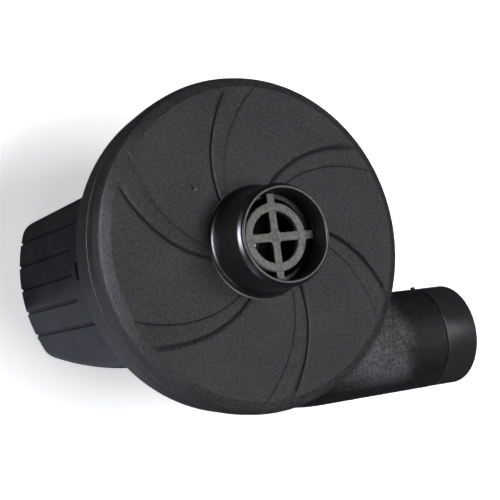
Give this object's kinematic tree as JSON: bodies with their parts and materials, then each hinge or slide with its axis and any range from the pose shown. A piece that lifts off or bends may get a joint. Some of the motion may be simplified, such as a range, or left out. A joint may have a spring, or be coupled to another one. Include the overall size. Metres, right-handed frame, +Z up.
{
  "type": "electric air pump",
  "caption": "Hand-held centrifugal air pump: a round blower casing with a suction collar in its face, a tangential outlet tube and a motor housing behind; it inflates and deflates.",
  "frame": {"origin": "centre of the flat rear wall of the motor housing, where the motor's axis meets it; the pump stands on this wall", "axes": "+Z up the motor's axis to the suction collar; +X the way the air leaves the outlet tube; the outlet tube lies on the -Y side"},
  "size_m": [0.1437, 0.1163, 0.1047],
  "materials": {
    "casing_grain": "fine moulded grain, matt charcoal black",
    "outlet_ring_satin": "smooth satin black",
    "housing_satin": "satin black with a slight blue cast",
    "grille_grey": "rough mid-grey plastic",
    "switch_gloss": "glossy black",
    "socket_gloss": "glossy black",
    "impeller_black": "black moulded nylon",
    "end_bell_black": "black moulded plastic",
    "bright_steel": "plated steel",
    "screw_steel": "blackened steel",
    "copper": "bare copper",
    "bronze": "sintered bronze",
    "carbon": "pressed carbon",
    "ferrite": "dark ferrite",
    "cell_sleeve": "green sleeve over a metal can",
    "wire_red": "red insulation",
    "wire_black": "black insulation"
  },
  "bodies": {
    "casing": {"battery_wire": "wire_red", "brush_left": "carbon", "brush_right": "carbon", "bushing_front": "bronze", "bushing_rear": "bronze", "cell_1": "cell_sleeve", "cell_2": "cell_sleeve", "cell_3": "cell_sleeve", "cell_4": "cell_sleeve", "cell_link_wire": "wire_black", "cell_strap_left": "bright_steel", "cell_strap_right": "bright_steel", "charging_socket": "socket_gloss", "charging_wire_black": "wire_black", "charging_wire_red": "wire_red", "cover_screw_1": "screw_steel", "cover_screw_2": "screw_steel", "cover_screw_3": "screw_steel", "cover_screw_4": "screw_steel", "front_cover": "casing_grain", "housing_screw_1": "screw_steel", "housing_screw_2": "screw_steel", "housing_screw_3": "screw_steel", "housing_screw_4": "screw_steel", "inlet_grille": "grille_grey", "motor_can": "bright_steel", "motor_end_bell": "end_bell_black", "motor_housing": "housing_satin", "motor_magnet_left": "ferrite", "motor_magnet_right": "ferrite", "motor_screw_left": "screw_steel", "motor_screw_right": "screw_steel", "motor_terminal_left": "copper", "motor_terminal_right": "copper", "motor_wire_black": "wire_black", "motor_wire_red": "wire_red", "outlet_ring": "outlet_ring_satin", "rear_shell": "casing_grain", "switch_body": "switch_gloss", "tab_left_high": "bright_steel", "tab_left_low": "bright_steel", "tab_right_high": "bright_steel", "tab_right_low": "bright_steel"},
    "rotor": {"impeller": "impeller_black", "impeller_shroud": "impeller_black", "motor_shaft": "bright_steel", "rotor_core": "bright_steel", "rotor_winding": "copper", "commutator": "copper"},
    "rocker": {"switch_rocker": "switch_gloss"}
  },
  "joints": [
    {"name": "rotor_spin", "type": "hinge", "parent": "casing", "child": "rotor", "pos_m": [0, 0, 0.07], "axis": [0, 0, 1], "continuous": true},
    {"name": "rocker_tilt", "type": "hinge", "parent": "casing", "child": "rocker", "pos_m": [0.033, 0.02239, 0.0542], "axis": [0, 0, 1], "range_deg": [0, 18]}
  ]
}
